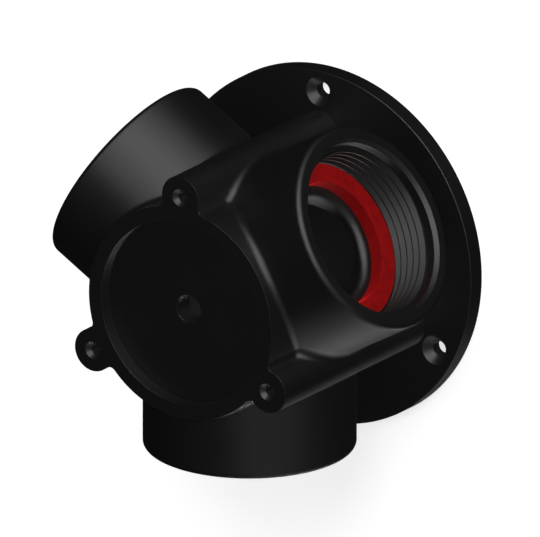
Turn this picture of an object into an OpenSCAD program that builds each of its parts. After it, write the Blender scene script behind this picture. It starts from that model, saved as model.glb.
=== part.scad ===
// Y-connector for pipes: a moulded column on a round mounting flange, with three threaded ports
// at 120 degrees and a flat rubber seal at the bottom of each port.
// Millimetres. +Z runs along the column, and the flange's rear face lies on z = 0.

/* [Flange] */
// Outside diameter of the mounting flange
flange_d = 100; // [98:1:130]
// Thickness of the flange
flange_t = 5; // [4:0.25:6]
// Round on the front edge of the flange
flange_edge_r = 0.3; // [0.1:0.1:1.5]
// Diameter of the circle that the flange's screw holes lie on
flange_hole_pcd = 88; // [87:0.5:89]
// Diameter of the flange's screw holes
flange_hole_d = 4.2; // [3:0.1:5]
// Diameter of the countersink at the flange's front face
flange_sink_d = 8.2; // [6:0.1:8.6]
// Depth of that countersink
flange_sink_depth = 2.1; // [1:0.1:3]

/* [Column] */
// Outside diameter of the column
column_d = 60; // [58:0.5:62]
// Height of the column's front face over the flange's rear face
column_h = 70; // [69:0.5:90]
// Wall round the inner chamber
column_wall = 3.8; // [3:0.2:6]
// Wall between the chamber and the flange's rear face
floor_t = 6; // [4:0.5:9]
// Wall between the chamber and the front recess
front_wall = 6; // [4:0.5:9]

/* [Front recess] */
// Diameter of the recess in the column's front face
recess_d = 52; // [40:1:54]
// Depth of the recess
recess_depth = 4; // [2:0.5:5]
// Diameter of the hole through the middle of the recess
centre_hole_d = 8; // [4:0.5:20]

/* [Lugs] */
// Diameter of the three screw lugs that run up the column
lug_d = 12; // [11:0.25:13]
// Diameter of the circle that the lugs lie on
lug_pcd = 66; // [65:0.5:67]
// Diameter of the screw hole in a lug
lug_hole_d = 3; // [2:0.1:4]
// Depth of the screw hole from the front face
lug_hole_depth = 15; // [8:1:40]
// Diameter of the countersink at the hole's mouth
lug_sink_d = 5; // [4.2:0.1:7]
// Depth of that countersink
lug_sink_depth = 1.25; // [0.5:0.25:2]
// Concave fillet where lugs, column and ports meet
fillet_r = 2; // [1:0.25:2.5]

/* [Ports] */
// Outside diameter of a port
port_d = 57.6; // [55:0.2:58.6]
// Distance from the column's axis to a port's face
port_reach = 47; // [46:0.5:70]
// Height of the ports' axes over the flange's rear face
port_height = 37.4; // [36.5:0.1:38]
// Round on the outer edge of a port's face
port_rim_r = 1.5; // [0.5:0.25:2]
// Diameter of the mouth at the port's face
mouth_d = 50.3; // [49:0.1:53]
// Depth of the chamfer inside the mouth
mouth_chamfer = 1; // [0.5:0.25:2]
// Diameter of the plain relief before the thread
relief_d = 48.3; // [48:0.1:48.8]
// Distance from the port's face to the start of the thread
relief_depth = 3.6; // [2.5:0.1:5]
// Major diameter of the pipe thread, 47.8 for a 1 1/2 inch parallel pipe thread
thread_d = 47.8; // [46:0.1:47.9]
// Pitch of the thread, 11 turns an inch
thread_pitch = 2.309; // [1.5:0.001:2.5]
// Length of the thread
thread_len = 10.4; // [8:0.1:11]
// Diameter of the bore from a port into the chamber
bore_d = 28.8; // [20:0.2:32]
// Round where the bore leaves the seal's seat
bore_round_r = 2; // [0.5:0.25:2.2]

/* [Seals] */
// Thickness of a flat seal
seal_t = 4; // [2:0.25:4.5]
// Inside diameter of a seal
seal_inner_d = 34.5; // [33.5:0.25:40]
// Gap between the seal's rim and the wall round it
seal_clearance = 0.12; // [0.05:0.01:0.5]

/* [Hidden] */
$fn = 96;

// Directions of the three ports round the column, and of the lugs and flange holes between them
port_angles = [30, 150, 270];
half_pitch = 180 / len(port_angles);
lug_angles = [for (angle = port_angles) angle + half_pitch];

// A cut starts this far outside the face that it opens
overcut = 1;

column_r = column_d / 2;
chamber_r = column_r - column_wall;
recess_floor = column_h - recess_depth;
chamber_top = recess_floor - front_wall;

// Depth of a 55 degree pipe thread as a share of its pitch
thread_depth = 0.6403 * thread_pitch;
pocket_r = thread_d / 2 - thread_depth;

// Distances from the column's axis along a port
thread_outer = port_reach - relief_depth;
thread_inner = thread_outer - thread_len;
seat = thread_inner - seal_t;

// A port starts inside the column, this far beyond the place where it would meet its neighbours
neighbour_gap = 0.5;
port_r = port_d / 2;
port_root = port_r / tan(half_pitch) + neighbour_gap;

// Centre of the circle of the fillet's radius that touches both the column and a lug, in plan
// with the lug along +X
lug_r = lug_d / 2;
lug_at = lug_pcd / 2;
column_fit = column_r + fillet_r;
lug_fit = lug_r + fillet_r;
corner_x = (column_fit ^ 2 - lug_fit ^ 2 + lug_at ^ 2) / (2 * lug_at);
corner_y = sqrt(column_fit ^ 2 - corner_x ^ 2);

// The fillet round a port is the surface under a ball that rolls round the port, touching the
// port and the wall. In the port's own plan, u runs along its axis and w across it.
path_r = port_r + fillet_r;
lug_u = lug_at * cos(half_pitch);
lug_w = lug_at * sin(half_pitch);
corner_u = corner_x * cos(half_pitch) + corner_y * sin(half_pitch);
corner_w = corner_x * sin(half_pitch) - corner_y * cos(half_pitch);
corner_turn = asin(corner_w / path_r);
column_normal = asin(corner_w / column_fit);
lug_normal = asin((corner_w - lug_w) / lug_fit);

// Steps of the rolling ball: against the column, turning in the corner, against the lug, and
// across the fillet
column_steps = 8;
corner_steps = 6;
lug_steps = 6;
arc_steps = 6;
// The fillet's edges lie this deep in what they meet, and its root this deep
fillet_sink = 0.04;
fillet_root = 1;

// A quarter of the ball's path from the port's top to its side, each stop with the angle round
// the port, the angle of the wall's normal in plan and the ball's distance along the port
function path_quarter() = concat(
    [for (i = [0 : column_steps])
        let (turn = corner_turn * i / column_steps,
             normal = asin(path_r * sin(turn) / column_fit))
        [turn, normal, column_fit * cos(normal)]],
    [for (i = [1 : corner_steps - 1])
        [corner_turn, column_normal + (lug_normal - column_normal) * i / corner_steps, corner_u]],
    [for (i = [0 : lug_steps])
        let (turn = corner_turn + (90 - corner_turn) * i / lug_steps,
             normal = asin((path_r * sin(turn) - lug_w) / lug_fit))
        [turn, normal, lug_u + lug_fit * cos(normal)]]
);

// The whole path: the quarter is mirrored below the axis, and both are mirrored across it
function path_stops() =
    let (q = path_quarter(), last = len(q) - 1)
    concat(
        [for (i = [0 : last]) q[i]],
        [for (i = [last - 1 : -1 : 0]) [180 - q[i][0], q[i][1], q[i][2]]],
        [for (i = [1 : last]) [180 + q[i][0], -q[i][1], q[i][2]]],
        [for (i = [last - 1 : -1 : 1]) [360 - q[i][0], -q[i][1], q[i][2]]]
    );

// The fillet's section at one stop: an arc from the wall to the port, and a root inside both
function fillet_section(stop) =
    let (ball = [stop[2], path_r * sin(stop[0]), path_r * cos(stop[0])],
         wall = [cos(stop[1]), sin(stop[1]), 0],
         port = [0, sin(stop[0]), cos(stop[0])],
         bend = acos(wall * port))
    concat(
        [ball - (fillet_r + fillet_sink) * wall],
        [for (i = [1 : arc_steps - 1])
            let (t = i / arc_steps)
            ball - fillet_r * (sin((1 - t) * bend) * wall + sin(t * bend) * port) / sin(bend)],
        [ball - (fillet_r + fillet_sink) * port],
        [ball - (fillet_r + fillet_root) * (wall + port) / (1 + wall * port)]
    );

// Outline of a disc of radius r and height h, turned about its axis, with its top edge rounded
module rounded_profile(r, h, edge_r) {
    square([r, h - edge_r]);
    square([r - edge_r, h]);
    translate([r - edge_r, h - edge_r]) circle(edge_r);
}

// Plan of the column with its three lugs, and the fillets between them
module column_plan() {
    circle(column_r);
    for (angle = lug_angles) rotate(angle) {
        translate([lug_at, 0]) circle(lug_r);
        difference() {
            polygon([[0, 0], [corner_x, -corner_y], [lug_at, 0], [corner_x, corner_y]]);
            for (side = [-1, 1]) translate([corner_x, side * corner_y]) circle(fillet_r);
        }
    }
}

// Turns +Z to a port's axis
module along_port(angle) {
    rotate([0, 0, angle]) translate([0, 0, port_height]) rotate([0, 90, 0]) children();
}

module port_tube() {
    translate([0, 0, port_root]) rotate_extrude() rounded_profile(port_r, port_reach - port_root, port_rim_r);
}

module port_fillet() {
    sections = [for (stop = path_stops()) fillet_section(stop)];
    count = len(sections);
    width = len(sections[0]);
    polyhedron(
        points = [for (section = sections) each section],
        faces = [for (i = [0 : count - 1], j = [0 : width - 1])
            let (a = i * width + j,
                 b = i * width + (j + 1) % width,
                 c = ((i + 1) % count) * width + (j + 1) % width,
                 d = ((i + 1) % count) * width + j)
            each [[a, b, c], [a, c, d]]]
    );
}

// A cone that widens from small_d to wide_d over its depth below z = 0, and runs on past it
module countersink(small_d, wide_d, depth) {
    run_on = overcut * (wide_d - small_d) / depth;
    translate([0, 0, -depth]) cylinder(h = depth + overcut, d1 = small_d, d2 = wide_d + run_on);
}

// Everything that is cut from one port: mouth, relief, thread, the seal's pocket and the bore
module port_cut() {
    translate([0, 0, port_reach]) countersink(relief_d, mouth_d, mouth_chamfer);
    translate([0, 0, thread_outer]) cylinder(h = relief_depth, d = relief_d);
    translate([0, 0, thread_inner]) cylinder(h = thread_len, d = thread_d);
    translate([0, 0, seat]) cylinder(h = seal_t, r = pocket_r);
    translate([0, 0, chamber_r / 2]) cylinder(h = seat - chamber_r / 2, d = bore_d);
    translate([0, 0, seat - bore_round_r]) rotate_extrude() difference() {
        square([bore_d / 2 + bore_round_r, bore_round_r]);
        translate([bore_d / 2 + bore_round_r, 0]) circle(bore_round_r);
    }
}

// A screw hole with its countersink, cut downwards from z = 0
module screw_cut(hole_d, depth, sink_d, sink_depth) {
    translate([0, 0, -depth]) cylinder(h = depth + overcut, d = hole_d);
    countersink(hole_d, sink_d, sink_depth);
}

// The whole moulded body
module body() color([0.09, 0.09, 0.09]) difference() {
    union() {
        rotate_extrude() rounded_profile(flange_d / 2, flange_t, flange_edge_r);
        linear_extrude(column_h) column_plan();
        for (angle = port_angles) {
            along_port(angle) port_tube();
            rotate([0, 0, angle]) translate([0, 0, port_height]) port_fillet();
        }
    }
    translate([0, 0, recess_floor]) cylinder(h = recess_depth + overcut, d = recess_d);
    translate([0, 0, chamber_top - overcut]) cylinder(h = front_wall + 2 * overcut, d = centre_hole_d);
    translate([0, 0, floor_t]) cylinder(h = chamber_top - floor_t, r = chamber_r);
    for (angle = port_angles) along_port(angle) port_cut();
    for (angle = lug_angles) rotate([0, 0, angle]) {
        translate([lug_at, 0, column_h]) screw_cut(lug_hole_d, lug_hole_depth, lug_sink_d, lug_sink_depth);
        translate([flange_hole_pcd / 2, 0, flange_t])
            screw_cut(flange_hole_d, flange_t + overcut, flange_sink_d, flange_sink_depth);
    }
}

// A flat ring of red rubber on the seat of the port at the given angle
module port_seal(angle) color([0.5, 0.06, 0.06]) along_port(angle) translate([0, 0, seat])
    difference() {
        cylinder(h = seal_t, r = pocket_r - seal_clearance);
        translate([0, 0, -overcut]) cylinder(h = seal_t + 2 * overcut, d = seal_inner_d);
    }

body();
port_seal(port_angles[0]);  // right_seal
port_seal(port_angles[1]);  // left_seal
port_seal(port_angles[2]);  // lower_seal
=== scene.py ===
"""Dresses the y-connector: a moulded black body with real threads, and a red rubber seal in each port.

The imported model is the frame. The body and the seals are built again here as closed skins of
smooth patches with exact normals, in millimetres, and stand for the nodes of the same name.
"""

from __future__ import annotations

import logging
import math
from dataclasses import dataclass, field
from enum import Enum
from typing import Any

import bpy
import numpy as np
from mathutils import Matrix, Vector
from mathutils.geometry import tessellate_polygon

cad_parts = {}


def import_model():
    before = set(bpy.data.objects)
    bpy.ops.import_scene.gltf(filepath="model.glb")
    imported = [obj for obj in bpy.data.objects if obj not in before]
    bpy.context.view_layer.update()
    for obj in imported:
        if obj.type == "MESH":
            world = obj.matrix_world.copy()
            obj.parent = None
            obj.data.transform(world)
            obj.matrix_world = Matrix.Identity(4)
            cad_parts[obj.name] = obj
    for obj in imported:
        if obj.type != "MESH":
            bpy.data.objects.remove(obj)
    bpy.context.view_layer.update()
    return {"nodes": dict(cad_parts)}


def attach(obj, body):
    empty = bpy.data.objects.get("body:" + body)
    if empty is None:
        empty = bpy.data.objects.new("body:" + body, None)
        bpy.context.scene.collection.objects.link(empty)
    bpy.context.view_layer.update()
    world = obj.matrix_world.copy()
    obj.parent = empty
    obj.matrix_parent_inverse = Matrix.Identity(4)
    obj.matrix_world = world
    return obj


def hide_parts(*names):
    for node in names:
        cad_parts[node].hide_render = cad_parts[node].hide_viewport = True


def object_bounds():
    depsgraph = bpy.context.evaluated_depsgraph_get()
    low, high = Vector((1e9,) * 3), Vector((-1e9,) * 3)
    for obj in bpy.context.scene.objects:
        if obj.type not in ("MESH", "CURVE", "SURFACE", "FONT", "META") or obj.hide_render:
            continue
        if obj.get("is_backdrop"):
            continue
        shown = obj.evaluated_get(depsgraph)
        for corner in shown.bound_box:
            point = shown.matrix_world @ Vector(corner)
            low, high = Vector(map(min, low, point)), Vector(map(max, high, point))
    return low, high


Array = np.ndarray
LOG = logging.getLogger("y_connector")

MM = 0.001
# Points of neighbouring patches that lie this close, in millimetres, are one vertex
WELD = 1e-4


class PortSide(Enum):
    """The three ports, each with its direction round the column in degrees."""

    RIGHT = 30
    LEFT = 150
    LOWER = 270

    @property
    def angle(self) -> float:
        """Direction round the column in radians."""
        return math.radians(self.value)

    @property
    def seal_name(self) -> str:
        """Name of the node of this port's seal."""
        return f"{self.name.lower()}_seal"


def pairs(x: Any, y: Any) -> Array:
    """Stacks two components of the same shape into an array of pairs."""
    return np.stack(np.broadcast_arrays(np.asarray(x, float), np.asarray(y, float)), axis=-1)


@dataclass(frozen=True)
class Axis:
    """A line that surfaces are turned about: its origin, the direction of turn zero, the
    direction of a quarter turn, and its own direction."""

    origin: Array
    start: Array
    side: Array
    along: Array

    def direction(self, out: Array, turn: Array, along: Array) -> Array:
        """Vector with the given parts, outwards at an angle of turn and along the axis."""
        radial = np.cos(turn)[..., None] * self.start + np.sin(turn)[..., None] * self.side
        return out[..., None] * radial + along[..., None] * self.along

    def place(self, radius: Array, turn: Array, height: Array) -> Array:
        """Point at a radius and angle of turn about the axis, and a height along it."""
        return self.origin + self.direction(*np.broadcast_arrays(radius, turn, height))


def column_axis() -> Axis:
    """The column's own axis, up from the flange's rear face."""
    x, y, z = np.eye(3)
    return Axis(np.zeros(3), x, y, z)


def port_axis(side: PortSide, height: float) -> Axis:
    """A port's axis, out from the column.

    Args:
        side: Which port.
        height: Height of the ports' axes over the flange's rear face.

    Returns:
        An axis whose turn zero points up the column.
    """
    cos, sin = math.cos(side.angle), math.sin(side.angle)
    origin = np.array([0.0, 0.0, height])
    return Axis(origin, np.array([0.0, 0.0, 1.0]), np.array([-sin, cos, 0.0]), np.array([cos, sin, 0.0]))


class Skin:
    """Collects patches that share their borders, and welds them into one closed mesh."""

    def __init__(self) -> None:
        """Starts with no patches."""
        self.points: list[Array] = []
        self.normals: list[Array] = []
        self.faces: list[Array] = []
        self.count = 0

    def grid(self, points: Array, normals: Array, closed: bool = False) -> None:
        """Adds a surface of two parameters.

        Args:
            points: Points, rows by columns by three.
            normals: The surface's normals at those points.
            closed: Whether the last column joins the first.
        """
        rows, columns = points.shape[:2]
        index = np.arange(rows * columns).reshape(rows, columns)
        if closed:
            index = np.concatenate([index, index[:, :1]], axis=1)
        corners = (index[:-1, :-1], index[:-1, 1:], index[1:, 1:], index[1:, :-1])
        quads = np.stack(corners, axis=-1).reshape(-1, 4)
        flat = points.reshape(-1, 3)
        seen = np.broadcast_to(normals, points.shape).reshape(-1, 3)
        facing = np.cross(flat[quads[:, 2]] - flat[quads[:, 0]], flat[quads[:, 3]] - flat[quads[:, 1]])
        if np.sum(facing * seen[quads].sum(axis=1)) < 0:
            quads = quads[:, ::-1]
        self._add(flat, seen, quads)

    def flat(self, loops: list[Array], normal: Array) -> None:
        """Fills a flat outline that has holes in it.

        Args:
            loops: The outline and then its holes, each points by three.
            normal: The direction that the face looks in.
        """
        points = np.concatenate(loops)
        fill = tessellate_polygon([[Vector(point) for point in loop] for loop in loops])
        triangles = np.array(fill, dtype=np.int64)
        first, second, third = (points[triangles[:, corner]] for corner in range(3))
        turned = np.cross(second - first, third - first) @ normal < 0
        triangles[turned] = triangles[turned][:, ::-1]
        quads = np.concatenate([triangles, triangles[:, 2:]], axis=1)
        self._add(points, np.broadcast_to(normal, points.shape), quads)

    def _add(self, points: Array, normals: Array, quads: Array) -> None:
        """Keeps one patch, its faces numbered after those before it.

        Args:
            points: The patch's points.
            normals: The surface's normals at those points.
            quads: Its faces, as numbers of those points.
        """
        self.points.append(points)
        self.normals.append(normals)
        self.faces.append(quads + self.count)
        self.count += len(points)

    def mesh(self, name: str) -> bpy.types.Object:
        """Welds the patches. A quad whose corners fall together becomes a triangle or goes.

        Args:
            name: Name of the object.

        Returns:
            The object, in metres, with the patches' own normals.
        """
        points, normals = np.concatenate(self.points), np.concatenate(self.normals)
        faces = np.concatenate(self.faces)
        keys = np.round(points / WELD).astype(np.int64)
        _, first, welded = np.unique(keys, axis=0, return_index=True, return_inverse=True)
        welded = welded.reshape(-1)

        whole = distinct(welded[faces])
        split = faces[~whole]
        triangles = np.concatenate([split[:, [0, 1, 2]], split[:, [0, 2, 3]]])
        triangles = triangles[distinct(welded[triangles])]
        shapes = [faces[whole], triangles]

        data = bpy.data.meshes.new(name)
        polygons = [corners for shape in shapes for corners in welded[shape].tolist()]
        data.from_pydata((points[first] * MM).tolist(), [], polygons)
        data.shade_smooth()
        corner_normals = np.concatenate([normals[shape].reshape(-1, 3) for shape in shapes])
        corner_normals /= np.linalg.norm(corner_normals, axis=1, keepdims=True)
        data.normals_split_custom_set(corner_normals.tolist())
        return add_object(name, data)


def add_object(name: str, data: bpy.types.ID) -> bpy.types.Object:
    """Adds an object to the scene.

    Args:
        name: Name of the object.
        data: Its mesh, camera or lamp.

    Returns:
        The object.
    """
    piece = bpy.data.objects.new(name, data)
    bpy.context.scene.collection.objects.link(piece)
    return piece


def distinct(faces: Array) -> Array:
    """Whether each face's corners all differ, as an array of booleans."""
    ordered = np.sort(faces, axis=1)
    return np.all(np.diff(ordered, axis=1) > 0, axis=1)


@dataclass(frozen=True)
class Stretch:
    """A stretch of a turned profile: points as radius and height, and its normals."""

    points: Array
    normals: Array

    def turned(self, skin: Skin, axis: Axis, turns: Array) -> None:
        """Adds the surface that the stretch sweeps round an axis.

        Args:
            skin: The skin it joins.
            axis: The axis.
            turns: Angles of turn, in order round the circle.
        """
        shape = (len(self.points), len(turns))
        spread, facing = (
            [np.broadcast_to(part, shape) for part in (pair[:, :1], turns, pair[:, 1:])]
            for pair in (self.points, self.normals)
        )
        skin.grid(axis.place(*spread), axis.direction(*facing), closed=True)


def line(start: tuple[float, float], end: tuple[float, float]) -> Stretch:
    """A straight stretch of profile. Its normal points to the right of its way, seen with the
    radius to the right and the height up.

    Args:
        start: Radius and height of its first point.
        end: Radius and height of its last point.

    Returns:
        The stretch.
    """
    points = np.array([start, end], float)
    way = (points[1] - points[0]) / math.dist(start, end)
    return Stretch(points, np.broadcast_to([way[1], -way[0]], points.shape))


def lines(*corners: tuple[float, float]) -> list[Stretch]:
    """Straight stretches from corner to corner, each corner a radius and a height."""
    return [line(start, end) for start, end in zip(corners, corners[1:])]


def arc(centre: tuple[float, float], radius: float, first: float, last: float, steps: int) -> Stretch:
    """A convex arc of profile: centre plus radius times a unit vector, which is its normal.

    Args:
        centre: Radius and height of the arc's centre.
        radius: The arc's own radius.
        first: Angle of the first point in degrees, from outwards towards up.
        last: Angle of the last point in degrees.
        steps: Number of spans.

    Returns:
        The stretch.
    """
    angle = np.radians(np.linspace(first, last, steps + 1))
    normals = pairs(np.cos(angle), np.sin(angle))
    return Stretch(np.array(centre) + radius * normals, normals)


@dataclass(frozen=True)
class Wall:
    """A closed upright wall in plan, with the openings that the ports make in it.

    points and normals are in plan, and lift is how far the opening reaches above and below the
    ports' axes at each point, which is nothing between the ports."""

    points: Array
    normals: Array
    lift: Array

    @staticmethod
    def all_round(points: Array, normals: Array, lift: Array) -> Wall:
        """Makes the wall from the stretch between a port's axis and the middle of a lug.

        Args:
            points: Distances along and across the port, from its axis to the lug's middle.
            normals: Normals at those points.
            lift: Reach of the port's opening at those points.

        Returns:
            The wall, once round: the stretch mirrored across the axis, at each port in turn.
        """
        flip = np.array([1.0, -1.0])
        points = np.concatenate([points[-2:0:-1] * flip, points])
        normals = np.concatenate([normals[-2:0:-1] * flip, normals])
        lift = np.concatenate([lift[-2:0:-1], lift])
        turns = []
        for side in PortSide:
            cos, sin = math.cos(side.angle), math.sin(side.angle)
            turns.append(np.array([[cos, sin], [-sin, cos]]))
        points, normals = (np.concatenate([part @ turn for turn in turns]) for part in (points, normals))
        return Wall(points, normals, np.tile(lift, len(turns)))

    def at(self, height: float, inset: float = 0.0) -> Array:
        """The wall's outline at one height, moved inwards by inset."""
        plan = self.points - inset * self.normals
        return np.column_stack([plan, np.full(len(plan), height)])

    def raised(self, skin: Skin, bottom: float, middle: float, top: float, rows: int) -> None:
        """Adds the wall in two strips, under and over the ports' openings.

        Args:
            skin: The skin it joins.
            bottom: Height of the wall's foot.
            middle: Height of the ports' axes.
            top: Height of the wall's top.
            rows: Number of spans in each strip.
        """
        share = np.linspace(0.0, 1.0, rows + 1)[:, None]
        normals = np.column_stack([self.normals, np.zeros(len(self.normals))])
        for edge, border in ((bottom, middle - self.lift), (top, middle + self.lift)):
            heights = edge + share * (border - edge)
            plan = np.broadcast_to(self.points, (rows + 1, *self.points.shape))
            skin.grid(np.concatenate([plan, heights[..., None]], axis=-1), normals[None], closed=True)


@dataclass(frozen=True)
class PipeThread:
    """A 55 degree parallel pipe thread, moulded with narrow flat crests and roots."""

    major_r: float = 23.9
    pitch: float = 2.309
    inner: float = 33.0
    outer: float = 43.4
    flank_angle: float = 27.5
    depth_share: float = 0.6403
    corner_r: float = 0.1
    corner_spans: int = 3
    # Grooves past the thread's length: one for the pitch that a turn takes away, one to end on
    spare_grooves: int = 2

    @property
    def depth(self) -> float:
        """Depth of the groove."""
        return self.depth_share * self.pitch

    @property
    def minor_r(self) -> float:
        """Radius at the ridges' crests."""
        return self.major_r - self.depth

    @property
    def flank(self) -> float:
        """Angle between a flank and a plane across the port, in radians."""
        return math.radians(self.flank_angle)

    @property
    def root_end(self) -> float:
        """Distance from a groove's middle to the end of its flat root."""
        root = (self.pitch / 2 - self.depth * math.tan(self.flank)) / 2
        return root - self.corner_r * math.tan((math.pi / 2 - self.flank) / 2)

    @property
    def crest_start(self) -> float:
        """Distance from a groove's middle to the start of the flat crest beside it."""
        return self.pitch / 2 - self.root_end

    def row_offsets(self) -> Array:
        """Places the rows of a pitch, all in its corners, where the wall bends.

        Returns:
            Their distances from a groove's middle.
        """
        turn = np.linspace(0.0, math.pi / 2 - self.flank, self.corner_spans + 1)
        corner = self.corner_r * np.sin(turn)
        half = np.concatenate([self.root_end + corner, self.crest_start - corner[::-1]])
        return np.concatenate([-half[::-1], half])

    def groove(self, offset: Array) -> tuple[Array, Array]:
        """Radius of the wall and its slope, at a distance along the port from a groove's middle.

        From the middle outwards it is a flat root at the major radius, a corner's arc, a
        straight flank, a corner's arc and half a flat crest at the minor radius.

        Args:
            offset: Distances along the port from the middle of a groove.

        Returns:
            The radii, and their change with distance along the port.
        """
        x = (offset + self.pitch / 2) % self.pitch - self.pitch / 2
        side, x = np.sign(x), np.abs(x)
        corner = self.corner_r
        arc_reach = corner * math.cos(self.flank)
        past_root = np.clip(x - self.root_end, 0.0, arc_reach)
        to_crest = np.clip(self.crest_start - x, 0.0, arc_reach)

        root = self.major_r - corner + np.sqrt(corner**2 - past_root**2)
        crest = self.minor_r + corner - np.sqrt(corner**2 - to_crest**2)
        steep = -1.0 / math.tan(self.flank)
        straight = (self.major_r + self.minor_r) / 2 + steep * (x - self.pitch / 4)
        at_root, at_crest = past_root < arc_reach, to_crest < arc_reach
        radius = np.where(at_root, root, np.where(at_crest, crest, straight))

        root_slope = -past_root / np.sqrt(corner**2 - past_root**2)
        crest_slope = -to_crest / np.sqrt(corner**2 - to_crest**2)
        slope = np.where(at_root, root_slope, np.where(at_crest, crest_slope, steep))
        return radius, slope * side

    def groove_offset(self, turn: Array, along: Array) -> Array:
        """Distance along the port from the nearest groove's middle, give or take whole pitches.

        A right-handed groove comes a pitch further in with each turn."""
        return along - self.inner + self.pitch * turn / math.tau

    def radius_at(self, turn: Array, along: float) -> Array:
        """Radius of the wall round a cut straight across the port."""
        return self.groove(self.groove_offset(turn, np.full_like(turn, along)))[0]

    def wall(self, skin: Skin, axis: Axis, turns: Array) -> None:
        """Adds the threaded wall. Its rows follow the groove and end at the thread's two ends.

        Args:
            skin: The skin it joins.
            axis: The port's axis.
            turns: Angles of turn, in order round the circle.
        """
        turn = np.append(turns, turns[0] + math.tau)[None, :]
        grooves = math.ceil((self.outer - self.inner) / self.pitch) + self.spare_grooves
        rows = (self.pitch * np.arange(grooves)[:, None] + self.row_offsets()).reshape(-1, 1)
        along = np.clip(self.inner - self.pitch * turn / math.tau + rows, self.inner, self.outer)
        turn = np.broadcast_to(turn, along.shape)
        radius, slope = self.groove(self.groove_offset(turn, along))
        around = slope * self.pitch / math.tau / radius
        inwards = axis.direction(np.full_like(radius, -1.0), turn, slope)
        sideways = axis.direction(np.ones_like(radius), turn + math.pi / 2, 0 * turn)
        skin.grid(axis.place(radius, turn, along), inwards + around[..., None] * sideways)


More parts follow.
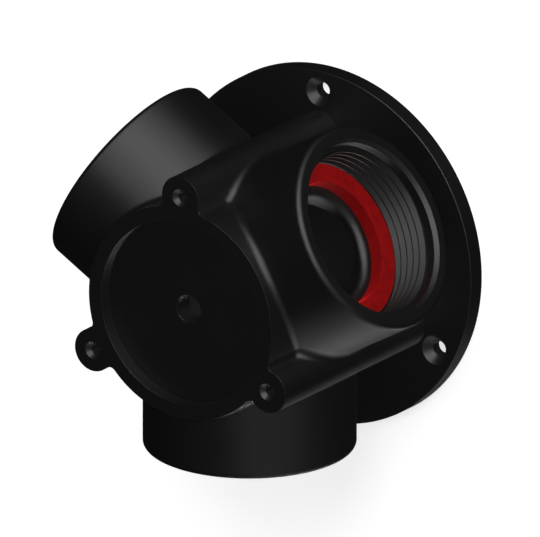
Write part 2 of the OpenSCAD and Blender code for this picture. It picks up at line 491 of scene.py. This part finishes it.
@dataclass(frozen=True)
class MouldedBody:
    """The moulded body: flange, column with lugs, three ports, recess, chamber and holes."""

    flange_r: float = 50.0
    flange_t: float = 5.0
    flange_edge_r: float = 0.3
    flange_hole_at: float = 44.0
    flange_hole_r: float = 2.1
    flange_sink_r: float = 4.1
    flange_sink_depth: float = 2.1

    column_r: float = 30.0
    column_h: float = 70.0
    chamber_r: float = 26.2
    floor_t: float = 6.0
    front_wall: float = 6.0
    recess_r: float = 26.0
    recess_depth: float = 4.0
    centre_hole_r: float = 4.0

    lug_r: float = 6.0
    lug_at: float = 33.0
    lug_hole_r: float = 1.5
    lug_hole_depth: float = 15.0
    lug_sink_r: float = 2.5
    lug_sink_depth: float = 1.25
    fillet_r: float = 2.0

    port_r: float = 28.8
    port_reach: float = 47.0
    port_height: float = 37.4
    port_rim_r: float = 1.5
    mouth_r: float = 25.15
    mouth_chamfer: float = 1.0
    relief_r: float = 24.15
    seat: float = 29.0
    bore_r: float = 14.4
    bore_round_r: float = 2.0
    thread: PipeThread = field(default_factory=PipeThread)

    # Round on the moulded edges that the solids leave sharp
    edge_r: float = 0.08
    edge_spans: int = 3

    # Spans of the rolling ball against the column, in the corner and against the lug
    column_spans: int = 26
    corner_spans: int = 12
    lug_spans: int = 16
    free_spans: int = 12
    round_spans: int = 8
    circle_spans: int = 192
    hole_spans: int = 48
    wall_rows: int = 6

    @property
    def half_pitch(self) -> float:
        """Angle from a port's axis to the middle of a lug."""
        return math.pi / len(PortSide)

    @property
    def path_r(self) -> float:
        """Radius of the rolling ball's path round a port."""
        return self.port_r + self.fillet_r

    @property
    def lug_centre(self) -> Array:
        """Centre of a lug, along and across the port beside it."""
        return self.lug_at * np.array([math.cos(self.half_pitch), math.sin(self.half_pitch)])

    @property
    def corner(self) -> Array:
        """Finds the ball that touches column and lug, where the circles round them meet, both a
        ball's radius out.

        Returns:
            The ball's centre, along and across the port.
        """
        column, lug = self.column_r + self.fillet_r, self.lug_r + self.fillet_r
        x = (column**2 - lug**2 + self.lug_at**2) / (2 * self.lug_at)
        y = math.sqrt(column**2 - x**2)
        cos, sin = math.cos(self.half_pitch), math.sin(self.half_pitch)
        return np.array([x * cos + y * sin, x * sin - y * cos])

    def rolling_ball(self) -> tuple[Array, Array, Array]:
        """Path of the fillet's ball round a quarter of a port, from its top to its side.

        Against the column and against the lug the ball's centre lies on a circle a ball's
        radius outside the wall, and in the corner between them it turns on the spot.

        Returns:
            The angle round the port, the angle of the wall's normal in plan, and the ball's
            distance along the port, at each stop.
        """
        column, lug = self.column_r + self.fillet_r, self.lug_r + self.fillet_r
        corner, lug_centre = self.corner, self.lug_centre
        corner_turn = math.asin(corner[1] / self.path_r)
        first = math.asin(corner[1] / column)
        last = math.asin((corner[1] - lug_centre[1]) / lug)

        column_turn = np.linspace(0.0, corner_turn, self.column_spans + 1)
        column_normal = np.arcsin(self.path_r * np.sin(column_turn) / column)
        corner_normal = np.linspace(first, last, self.corner_spans + 1)[1:-1]
        lug_turn = np.linspace(corner_turn, math.pi / 2, self.lug_spans + 1)
        lug_normal = np.arcsin((self.path_r * np.sin(lug_turn) - lug_centre[1]) / lug)
        turn = np.concatenate([column_turn, np.full(len(corner_normal), corner_turn), lug_turn])
        normal = np.concatenate([column_normal, corner_normal, lug_normal])
        on_column, on_lug = column * np.cos(column_normal), lug_centre[0] + lug * np.cos(lug_normal)
        reach = np.concatenate([on_column, np.full(len(corner_normal), corner[0]), on_lug])
        return turn, normal, reach

    def outer_wall(self) -> Wall:
        """Draws the column with its lugs and the fillets between them.

        Returns:
            The wall, in plan.
        """
        turn, normal, reach = self.rolling_ball()
        facing = pairs(np.cos(normal), np.sin(normal))
        ball = pairs(reach, self.path_r * np.sin(turn))
        points = ball - self.fillet_r * facing
        tip = np.linspace(normal[-1], self.half_pitch, self.free_spans + 1)[1:]
        tip_facing = pairs(np.cos(tip), np.sin(tip))
        lift = self.path_r * np.cos(turn)
        lift[-1] = 0.0
        return Wall.all_round(
            np.concatenate([points, self.lug_centre + self.lug_r * tip_facing]),
            np.concatenate([facing, tip_facing]),
            np.concatenate([lift, np.zeros(len(tip))]),
        )

    def chamber_wall(self) -> Wall:
        """Draws the chamber's round wall with the bores' openings.

        Returns:
            The wall, in plan, facing inwards.
        """
        turn = np.unique(self.rolling_ball()[0])
        across = self.bore_r * np.sin(turn)
        free = np.linspace(math.asin(self.bore_r / self.chamber_r), self.half_pitch, self.free_spans + 1)[1:]
        angle = np.concatenate([np.arcsin(across / self.chamber_r), free])
        facing = pairs(np.cos(angle), np.sin(angle))
        lift = self.bore_r * np.cos(turn)
        lift[-1] = 0.0
        return Wall.all_round(self.chamber_r * facing, -facing, np.concatenate([lift, np.zeros(len(free))]))

    def port_turns(self) -> Array:
        """Spreads the columns of a port's turned surfaces, at the stops of the rolling ball.

        Returns:
            Angles of turn, in order round the port.
        """
        quarter = np.unique(self.rolling_ball()[0])
        half = np.concatenate([quarter, math.pi - quarter[-2::-1]])
        return np.concatenate([half, math.tau - half[-2:0:-1]])

    @staticmethod
    def round_port(quarter: Array) -> Array:
        """Repeats values of the first quarter turn, mirrored, at all the turns of a port."""
        half = np.concatenate([quarter, quarter[-2::-1]])
        return np.concatenate([half, half[-2:0:-1]])

    def port_fillet(self, skin: Skin, axis: Axis) -> None:
        """Adds the fillet round a port: at each stop of the ball, the arc of its surface from
        where it touches the wall to where it touches the port.

        Args:
            skin: The skin it joins.
            axis: The port's axis.
        """
        turn, normal, reach = self.rolling_ball()
        last = len(turn) - 1
        upper = np.arange(last + 1)
        order = np.concatenate([upper, upper[-2::-1], upper[1:], upper[-2:0:-1]])
        # Down one side of the port in the first two quarters, and up the other in the last two
        quarter = np.repeat(np.arange(4), [last + 1, last, last, last - 1])
        stop = turn[order]
        angle = np.choose(quarter, [stop, math.pi - stop, math.pi + stop, math.tau - stop])
        plan = normal[order] * np.where(quarter < 2, 1.0, -1.0)

        centre = axis.place(np.full(len(order), self.path_r), angle, reach[order])
        wall = np.cos(plan)[:, None] * axis.along + np.sin(plan)[:, None] * axis.side
        port = axis.direction(np.ones(len(order)), angle, np.zeros(len(order)))
        bend = np.arccos(np.sum(wall * port, axis=1))[None, :, None]
        share = np.linspace(0.0, 1.0, self.round_spans + 1)[:, None, None]
        out = (np.sin((1.0 - share) * bend) * wall + np.sin(share * bend) * port) / np.sin(bend)
        skin.grid(centre - self.fillet_r * out, out, closed=True)

    def port(self, skin: Skin, side: PortSide) -> None:
        """Adds a port: its outside, rim, mouth, relief, thread, seal's pocket, seat and bore.

        Args:
            skin: The skin it joins.
            side: Which port.
        """
        axis = port_axis(side, self.port_height)
        turns = self.port_turns()
        self.port_fillet(skin, axis)

        rim_flat, rim_start = self.port_r - self.port_rim_r, self.port_reach - self.port_rim_r
        ball_turn, _, ball_reach = self.rolling_ball()
        foot = self.round_port(ball_reach[np.unique(ball_turn, return_index=True)[1]])
        self.tube(skin, axis, turns, foot, rim_start, self.port_r, 1.0)

        thread = self.thread
        chamfer_end = self.port_reach - self.mouth_chamfer
        seat_end, bore_end = self.bore_r + self.bore_round_r, self.seat - self.bore_round_r
        stretches = [
            arc((rim_flat, rim_start), self.port_rim_r, 0, 90, self.round_spans),
            *lines(
                (rim_flat, self.port_reach),
                (self.mouth_r, self.port_reach),
                (self.relief_r, chamfer_end),
                (self.relief_r, thread.outer),
            ),
            *lines((thread.minor_r, thread.inner), (thread.minor_r, self.seat), (seat_end, self.seat)),
            arc((seat_end, bore_end), self.bore_round_r, 90, 180, self.round_spans),
        ]
        for stretch in stretches:
            stretch.turned(skin, axis, turns)
        thread.wall(skin, axis, turns)
        facing = np.broadcast_to(axis.along, (2, len(turns), 3))
        for along, border in ((thread.outer, self.relief_r), (thread.inner, thread.minor_r)):
            radius = np.stack([thread.radius_at(turns, along), np.full(len(turns), border)])
            turn = np.broadcast_to(turns, radius.shape)
            skin.grid(axis.place(radius, turn, np.full(radius.shape, along)), facing, closed=True)
        mouth = np.sqrt(self.chamber_r**2 - (self.bore_r * np.sin(turns)) ** 2)
        self.tube(skin, axis, turns, mouth, bore_end, self.bore_r, -1.0)

    def tube(
        self, skin: Skin, axis: Axis, turns: Array, foot: Array, end: float, radius: float, facing: float
    ) -> None:
        """Adds a straight round wall from a shaped foot to a flat end.

        Args:
            skin: The skin it joins.
            axis: The wall's axis.
            turns: Angles of turn, in order round the circle.
            foot: Height of the foot at each angle.
            end: Height of the end.
            radius: The wall's radius.
            facing: 1 for an outside and -1 for a bore.
        """
        share = np.linspace(0.0, 1.0, self.wall_rows + 1)[:, None]
        height = foot + share * (end - foot)
        turn = np.broadcast_to(turns, height.shape)
        normals = axis.direction(np.full(height.shape, facing), turn, np.zeros(height.shape))
        skin.grid(axis.place(np.full(height.shape, radius), turn, height), normals, closed=True)

    def flange(self, skin: Skin, wall: Wall) -> None:
        """Adds the flange with its rounded front edge and its three countersunk holes.

        Args:
            skin: The skin it joins.
            wall: The column's outer wall, which stands on the flange's front face.
        """
        axis = column_axis()
        turns = once_round(self.circle_spans)
        edge = self.flange_r - self.flange_edge_r
        shoulder = self.flange_t - self.flange_edge_r
        line((self.flange_r, 0.0), (self.flange_r, shoulder)).turned(skin, axis, turns)
        arc((edge, shoulder), self.flange_edge_r, 0, 90, self.round_spans).turned(skin, axis, turns)

        sinks, _, drills = self.screw_holes(
            skin,
            self.flange_hole_at,
            (self.flange_sink_r, self.flange_t),
            (self.flange_hole_r, self.flange_t - self.flange_sink_depth),
            (self.flange_hole_r, 0.0),
        )
        front = [circle(axis, edge, self.flange_t, turns), wall.at(self.flange_t), *sinks]
        skin.flat(front, axis.along)
        skin.flat([circle(axis, self.flange_r, 0.0, turns), *drills], -axis.along)

    def screw_holes(self, skin: Skin, distance: float, *corners: tuple[float, float]) -> list[list[Array]]:
        """Adds three screw holes between the ports, each turned from the same profile.

        Args:
            skin: The skin it joins.
            distance: Distance of the holes from the column's axis.
            corners: Radius and height of the profile's corners, from the top down.

        Returns:
            The three holes' circles at each corner.
        """
        x, y, z = np.eye(3)
        angles = [side.angle + self.half_pitch for side in PortSide]
        holes = [Axis(distance * (math.cos(a) * x + math.sin(a) * y), x, y, z) for a in angles]
        around = once_round(self.hole_spans)
        for hole in holes:
            for stretch in lines(*corners):
                stretch.turned(skin, hole, around)
        return [[circle(hole, *corner, around) for hole in holes] for corner in corners]

    def front(self, skin: Skin, wall: Wall, chamber: Wall) -> None:
        """Adds the front face, its recess, the centre hole and the lugs' screw holes.

        Args:
            skin: The skin it joins.
            wall: The column's outer wall.
            chamber: The chamber's wall, whose columns the recess shares.
        """
        axis = column_axis()
        turns = np.unwrap(np.arctan2(chamber.points[:, 1], chamber.points[:, 0]))
        floor = self.column_h - self.recess_depth
        ceiling = floor - self.front_wall
        hole = self.centre_hole_r
        edge = self.edge_r
        stretches = [
            arc((self.recess_r + edge, self.column_h - edge), edge, 90, 180, self.edge_spans),
            *lines((self.recess_r, self.column_h - edge), (self.recess_r, floor), (hole + edge, floor)),
            arc((hole + edge, floor - edge), edge, 90, 180, self.edge_spans),
            *lines((hole, floor - edge), (hole, ceiling), (self.chamber_r, ceiling)),
            line((self.chamber_r, self.floor_t), (0.0, self.floor_t)),
        ]
        for stretch in stretches:
            stretch.turned(skin, axis, turns)

        lean = np.linspace(0.0, math.pi / 2, self.edge_spans + 1)[:, None, None]
        sideways = np.column_stack([wall.normals, np.zeros(len(wall.normals))])
        out = np.cos(lean) * sideways + np.sin(lean) * axis.along
        skin.grid(wall.at(self.column_h - edge, edge) + edge * out, out, closed=True)

        bottom = self.column_h - self.lug_hole_depth
        sinks, *_ = self.screw_holes(
            skin,
            self.lug_at,
            (self.lug_sink_r, self.column_h),
            (self.lug_hole_r, self.column_h - self.lug_sink_depth),
            (self.lug_hole_r, bottom),
            (0.0, bottom),
        )
        recess = circle(axis, self.recess_r + edge, self.column_h, turns)
        skin.flat([wall.at(self.column_h, edge), recess, *sinks], axis.along)

    def build(self) -> bpy.types.Object:
        """Builds the body's whole skin.

        Returns:
            The body's object.
        """
        skin = Skin()
        wall, chamber = self.outer_wall(), self.chamber_wall()
        ceiling = self.column_h - self.recess_depth - self.front_wall
        wall.raised(skin, self.flange_t, self.port_height, self.column_h - self.edge_r, self.wall_rows)
        chamber.raised(skin, self.floor_t, self.port_height, ceiling, self.wall_rows)
        self.flange(skin, wall)
        self.front(skin, wall, chamber)
        for side in PortSide:
            self.port(skin, side)
        return skin.mesh("moulded_body")


def once_round(spans: int) -> Array:
    """Equal angles of turn, once round a circle."""
    return np.linspace(0.0, math.tau, spans, endpoint=False)


def circle(axis: Axis, radius: float, height: float, turns: Array) -> Array:
    """Points of a circle about an axis, one at each angle of turn."""
    return axis.place(np.full(len(turns), radius), turns, np.full(len(turns), height))


@dataclass(frozen=True)
class FlatSeal:
    """A flat ring of rubber that lies on the seat at the bottom of a port."""

    inner_r: float = 17.25
    thickness: float = 4.0
    clearance: float = 0.12
    edge_r: float = 0.12
    spans: int = 128
    edge_spans: int = 4

    def build(self, body: MouldedBody, side: PortSide) -> bpy.types.Object:
        """Builds one seal, its four edges softly rounded.

        Args:
            body: The body that it lies in.
            side: Which port.

        Returns:
            The seal's object.
        """
        axis = port_axis(side, body.port_height)
        turns = once_round(self.spans)
        outer, inner, edge = body.thread.minor_r - self.clearance, self.inner_r, self.edge_r
        low, high = body.seat, body.seat + self.thickness
        skin = Skin()
        stretches = [
            line((outer, low + edge), (outer, high - edge)),
            arc((outer - edge, high - edge), edge, 0, 90, self.edge_spans),
            line((outer - edge, high), (inner + edge, high)),
            arc((inner + edge, high - edge), edge, 90, 180, self.edge_spans),
            line((inner, high - edge), (inner, low + edge)),
            arc((inner + edge, low + edge), edge, 180, 270, self.edge_spans),
            line((inner + edge, low), (outer - edge, low)),
            arc((outer - edge, low + edge), edge, 270, 360, self.edge_spans),
        ]
        for stretch in stretches:
            stretch.turned(skin, axis, turns)
        return skin.mesh(f"{side.name.lower()}_flat_seal")


def linear(hex_colour: str) -> tuple[float, float, float, float]:
    """Turns an sRGB hex colour into the linear colour that a shader reads, by the standard's
    curve: straight near black and a power above that.

    Args:
        hex_colour: A colour such as "#1a1a1a".

    Returns:
        Linear red, green and blue, and an alpha of one.
    """
    parts = np.array([int(hex_colour[i : i + 2], 16) for i in (1, 3, 5)]) / 255.0
    low, high = parts / 12.92, ((parts + 0.055) / 1.055) ** 2.4
    red, green, blue = np.where(parts <= 0.04045, low, high)
    return float(red), float(green), float(blue), 1.0


def add_node(
    tree: bpy.types.NodeTree,
    kind: str,
    values: dict[str | int, Any] | None = None,
    links: dict[str | int, bpy.types.NodeSocket] | None = None,
    **settings: Any,
) -> bpy.types.Node:
    """Adds a node with its settings and links.

    Args:
        tree: The node tree.
        kind: The node's type.
        values: Input names or numbers, with the value that each holds.
        links: Input names or numbers, with the socket that feeds each.
        settings: The node's own properties.

    Returns:
        The node.
    """
    node = tree.nodes.new(kind)
    for name, value in settings.items():
        setattr(node, name, value)
    for name, value in (values or {}).items():
        node.inputs[name].default_value = value
    for name, socket in (links or {}).items():
        tree.links.new(socket, node.inputs[name])
    return node


def new_material(name: str) -> tuple[bpy.types.Material, bpy.types.NodeTree]:
    """Makes a material with an empty node tree.

    Args:
        name: Name of the material.

    Returns:
        The material and its node tree.
    """
    material = bpy.data.materials.new(name)
    material.use_nodes = True
    material.node_tree.nodes.clear()
    return material, material.node_tree


@dataclass(frozen=True)
class MouldedAbs:
    """Black ABS, injection moulded in a finely eroded tool.

    The tool's grain breaks the gloss into a soft sheen, and the resin's flow leaves a slow,
    faint change of sheen every couple of centimetres."""

    name: str = "moulded_black_abs"
    colour: str = "#0b0b0b"
    ior: float = 1.5
    specular_level: float = 0.5
    roughness: float = 0.4
    roughness_spread: float = 0.02
    # The eroded grain is about 0.1 mm in the tool and is drawn coarser, so that it shows
    grain_mm: float = 0.5
    grain_height_mm: float = 0.03
    grain_detail: float = 2.0
    flow_mm: float = 22.0
    flow_detail: float = 1.0
    # The noise's values that the change of sheen is spread over
    flow_low: float = 0.3
    flow_high: float = 0.7

    def material(self) -> bpy.types.Material:
        """Builds the material's nodes.

        Returns:
            The material.
        """
        material, tree = new_material(self.name)
        place = add_node(tree, "ShaderNodeTexCoord").outputs["Object"]
        grain, flow = (
            add_node(tree, "ShaderNodeTexNoise", {"Scale": 1 / (mm * MM), "Detail": fine}, {"Vector": place})
            for mm, fine in ((self.grain_mm, self.grain_detail), (self.flow_mm, self.flow_detail))
        )
        sheen = add_node(
            tree,
            "ShaderNodeMapRange",
            {
                "From Min": self.flow_low,
                "From Max": self.flow_high,
                "To Min": self.roughness - self.roughness_spread,
                "To Max": self.roughness + self.roughness_spread,
            },
            {"Value": flow.outputs["Fac"]},
        )
        bump = add_node(
            tree,
            "ShaderNodeBump",
            {"Strength": 1.0, "Distance": self.grain_height_mm * MM},
            {"Height": grain.outputs["Fac"]},
        )
        shader = add_node(
            tree,
            "ShaderNodeBsdfPrincipled",
            {"Base Color": linear(self.colour), "IOR": self.ior, "Specular IOR Level": self.specular_level},
            {"Roughness": sheen.outputs["Result"], "Normal": bump.outputs["Normal"]},
        )
        add_node(tree, "ShaderNodeOutputMaterial", links={"Surface": shader.outputs["BSDF"]})
        return material


@dataclass(frozen=True)
class PressedRubber:
    """Red silicone rubber, pressed into sheet and punched.

    It is matt, a little uneven in colour where the pigment is thicker, with a faint orange-peel
    skin from the press."""

    name: str = "pressed_red_rubber"
    colour: str = "#780d0e"
    deep_colour: str = "#6a0b0c"
    # The fine skin hardly mirrors, but glows at a grazing view, as the seal's bore does in the
    # photograph
    sheen_colour: str = "#ff2829"
    sheen: float = 1.0
    sheen_roughness: float = 0.33
    ior: float = 1.43
    specular_level: float = 0.02
    roughness: float = 0.5
    mottle_mm: float = 3.0
    mottle_detail: float = 3.0
    # The noise's values at which the colour is all deep, and all plain
    mottle_stops: tuple[float, float] = (0.35, 0.65)
    peel_mm: float = 0.6
    peel_height_mm: float = 0.01
    peel_detail: float = 1.0

    def material(self) -> bpy.types.Material:
        """Builds the material's nodes.

        Returns:
            The material.
        """
        material, tree = new_material(self.name)
        place = add_node(tree, "ShaderNodeTexCoord").outputs["Object"]
        mottle, peel = (
            add_node(tree, "ShaderNodeTexNoise", {"Scale": 1 / (mm * MM), "Detail": fine}, {"Vector": place})
            for mm, fine in ((self.mottle_mm, self.mottle_detail), (self.peel_mm, self.peel_detail))
        )
        colour = add_node(tree, "ShaderNodeValToRGB", links={"Fac": mottle.outputs["Fac"]})
        shades = (self.deep_colour, self.colour)
        for stop, value, shade in zip(colour.color_ramp.elements, self.mottle_stops, shades):
            stop.position, stop.color = value, linear(shade)
        bump = add_node(
            tree,
            "ShaderNodeBump",
            {"Strength": 1.0, "Distance": self.peel_height_mm * MM},
            {"Height": peel.outputs["Fac"]},
        )
        shader = add_node(
            tree,
            "ShaderNodeBsdfPrincipled",
            {
                "Roughness": self.roughness,
                "IOR": self.ior,
                "Specular IOR Level": self.specular_level,
                "Sheen Weight": self.sheen,
                "Sheen Roughness": self.sheen_roughness,
                "Sheen Tint": linear(self.sheen_colour),
            },
            {"Base Color": colour.outputs["Color"], "Normal": bump.outputs["Normal"]},
        )
        add_node(tree, "ShaderNodeOutputMaterial", links={"Surface": shader.outputs["BSDF"]})
        return material


class Lit(Enum):
    """What a lamp lights. The part's lamps throw no shadows, as in the photograph, where the
    insides of the ports are as bright as the outside. The floor's lamp throws the part's shadow."""

    PART = "part"
    FLOOR = "floor"


@dataclass(frozen=True)
class Lamp:
    """A square soft lamp: where it stands, seen from the part, its side in metres, its power in
    watts, and what it lights."""

    name: str
    towards: tuple[float, float, float]
    side: float
    power: float
    lit: Lit = Lit.PART


@dataclass(frozen=True)
class Studio:
    """The pale floor, the soft lamps and the camera at the photograph's angle."""

    # The photograph's frame, and the picture's scale in millimetres a pixel
    width_px: int = 540
    height_px: int = 537
    mm_per_px: float = 0.26886
    # Where the middle of the flange's rear face falls in the photograph
    origin_px: tuple[float, float] = (328.96, 239.92)
    # The photograph looks at the upright part's front face from this far to the right and above
    azimuth_deg: float = 35.0
    elevation_deg: float = 20.0
    # The stage's own distances and sizes are in metres
    camera_distance: float = 0.6

    floor_size: float = 3.0
    floor_drop: float = 0.00005
    # What the camera sees of the floor
    floor_colour: str = "#c8c8c8"
    floor_glow: float = 0.66
    # How bright the surround is to a matt surface and in a gloss, where 1 is white. The part has
    # no metal or glass, and the photograph's black plastic mirrors hardly any white.
    surround: float = 0.43
    surround_in_gloss: float = 0.01
    lamp_distance: float = 0.9
    lamps: tuple[Lamp, ...] = (
        Lamp("key", (0.41, 0.64, 0.64), 1.2, 7.9),
        Lamp("high", (0.53, 0.82, 0.22), 1.15, 5.6),
        Lamp("low", (0.25, -0.96, -0.12), 0.9, 1.3),
        Lamp("under", (0.12, -0.89, -0.43), 0.6, 0.85),
        Lamp("fill", (0.83, -0.29, 0.47), 1.1, 0.85),
        Lamp("table", (0.30, 0.60, 0.74), 0.5, 5.5, Lit.FLOOR),
    )

    def camera_axes(self) -> tuple[Array, Array, Array]:
        """The camera's right, up and backward directions.

        With the part's front face upright, right is level, and the picture's up and back lean
        by the elevation. Standing the part on its flange turns y to z and z to minus y.

        Returns:
            Three unit vectors in the part's frame.
        """
        azimuth, elevation = math.radians(self.azimuth_deg), math.radians(self.elevation_deg)
        right = np.array([math.cos(azimuth), 0.0, -math.sin(azimuth)])
        level = np.array([math.sin(azimuth), 0.0, math.cos(azimuth)])
        upright = np.array([0.0, 1.0, 0.0])
        up = math.cos(elevation) * upright - math.sin(elevation) * level
        back = math.sin(elevation) * upright + math.cos(elevation) * level
        return right, up, back

    def camera(self) -> None:
        """Sets the camera so that each point falls where it does in the photograph."""
        right, up, back = self.camera_axes()
        middle_x, middle_y = (self.width_px - 1) / 2, (self.height_px - 1) / 2
        scale = self.mm_per_px * MM
        target = (middle_x - self.origin_px[0]) * scale * right - (middle_y - self.origin_px[1]) * scale * up
        data = bpy.data.cameras.new("camera")
        data.type = "ORTHO"
        data.ortho_scale = self.width_px * scale
        camera = add_object("camera", data)
        axes = Matrix([Vector(axis) for axis in (right, up, back)]).transposed()
        camera.matrix_world = Matrix.Translation(target + self.camera_distance * back) @ axes.to_4x4()
        bpy.context.scene.camera = camera

    def floor(self) -> bpy.types.Object:
        """Lays the floor under the part. To the camera it is pale and glows, so that it is white
        there and keeps the part's shadow. To the part it is as bright as the rest of the surround.

        Returns:
            The floor's object.
        """
        half = self.floor_size / 2
        data = bpy.data.meshes.new("floor")
        corners = [(-half, -half), (half, -half), (half, half), (-half, half)]
        data.from_pydata([(x, y, -self.floor_drop) for x, y in corners], [], [(0, 1, 2, 3)])
        floor = add_object("floor", data)
        material, tree = new_material("pale_floor")
        pale = add_node(tree, "ShaderNodeBsdfDiffuse", {"Color": linear(self.floor_colour)})
        glow = add_node(tree, "ShaderNodeEmission", {"Strength": self.floor_glow})
        white = add_node(
            tree, "ShaderNodeAddShader", links={0: pale.outputs["BSDF"], 1: glow.outputs["Emission"]}
        )
        seen, strength = self.surround_light(tree)
        around = add_node(tree, "ShaderNodeEmission", links={"Strength": strength})
        both = add_node(
            tree,
            "ShaderNodeMixShader",
            links={0: seen, 1: around.outputs["Emission"], 2: white.outputs["Shader"]},
        )
        add_node(tree, "ShaderNodeOutputMaterial", links={"Surface": both.outputs["Shader"]})
        data.materials.append(material)
        floor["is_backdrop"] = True
        return floor

    def surround_light(self, tree: bpy.types.NodeTree) -> tuple[bpy.types.NodeSocket, bpy.types.NodeSocket]:
        """Adds the nodes that tell how bright the surround is to the ray that meets it.

        Args:
            tree: The node tree of the floor or the sky.

        Returns:
            Whether it is a camera ray, and the brightness for any other ray.
        """
        path = add_node(tree, "ShaderNodeLightPath")
        strength = add_node(
            tree,
            "ShaderNodeMath",
            {1: self.surround, 2: self.surround_in_gloss},
            {0: path.outputs["Is Diffuse Ray"]},
            operation="MULTIPLY_ADD",
        )
        return path.outputs["Is Camera Ray"], strength.outputs["Value"]

    def sky(self) -> None:
        """Surrounds the scene with an even light, which the camera sees as white."""
        world = bpy.data.worlds.new("studio")
        world.use_nodes = True
        tree = world.node_tree
        tree.nodes.clear()
        seen, strength = self.surround_light(tree)
        whole = add_node(tree, "ShaderNodeMath", links={0: seen, 1: strength}, operation="MAXIMUM")
        light = add_node(tree, "ShaderNodeBackground", links={"Strength": whole.outputs["Value"]})
        light.inputs["Color"].default_value = linear("#ffffff")
        add_node(tree, "ShaderNodeOutputWorld", links={"Surface": light.outputs["Background"]})
        bpy.context.scene.world = world

    def light(self, pieces: dict[Lit, list[bpy.types.Object]]) -> None:
        """Hangs the lamps, each turned to the part's middle.

        Args:
            pieces: The objects that each kind of lamp lights.
        """
        groups = {}
        for lit, members in pieces.items():
            groups[lit] = bpy.data.collections.new(f"lit_{lit.value}")
            for member in members:
                groups[lit].objects.link(member)
        low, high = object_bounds()
        middle = (low + high) / 2
        for lamp in self.lamps:
            data = bpy.data.lights.new(lamp.name, "AREA")
            data.shape, data.size, data.energy = "SQUARE", lamp.side, lamp.power
            # Light found by chance on a bounce would be shadowed, so the part's lamps are only sampled
            data.use_shadow = lamp.lit is Lit.FLOOR
            data.cycles.use_multiple_importance_sampling = lamp.lit is Lit.FLOOR
            piece = add_object(lamp.name, data)
            piece.light_linking.receiver_collection = groups[lamp.lit]
            piece.visible_camera = False
            away = Vector(lamp.towards).normalized()
            turn = (-away).to_track_quat("-Z", "Y").to_matrix().to_4x4()
            piece.matrix_world = Matrix.Translation(middle + away * self.lamp_distance) @ turn

    def build(self, part: list[bpy.types.Object]) -> None:
        """Builds the whole stage.

        Args:
            part: The part's own pieces.
        """
        self.camera()
        self.sky()
        self.light({Lit.PART: part, Lit.FLOOR: [self.floor()]})
        bpy.context.scene.view_settings.view_transform = "Standard"


def dress(
    piece: bpy.types.Object, node: str, material: bpy.types.Material, frame: dict[str, Any]
) -> None:
    """Finishes a piece and puts it in the place of its node.

    Args:
        piece: The piece.
        node: The node that it stands for.
        material: The piece's material.
    """
    piece.data.materials.append(material)
    frame["nodes"][node].data.materials.clear()
    frame["nodes"][node].data.materials.append(material)
    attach(piece, "root")
    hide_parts(node)
    LOG.info("%s: %d faces, stands for %s", piece.name, len(piece.data.polygons), node)


def main() -> None:
    """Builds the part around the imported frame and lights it."""
    logging.basicConfig(level=logging.INFO, format="%(message)s")
    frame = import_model()

    plastic, rubber = MouldedAbs().material(), PressedRubber().material()
    body = MouldedBody()
    pieces = [body.build()]
    dress(pieces[0], "body", plastic, frame)
    for side in PortSide:
        seal = FlatSeal().build(body, side)
        dress(seal, side.seal_name, rubber, frame)
        pieces.append(seal)
    Studio().build(pieces)


if __name__ == "__main__":
    main()
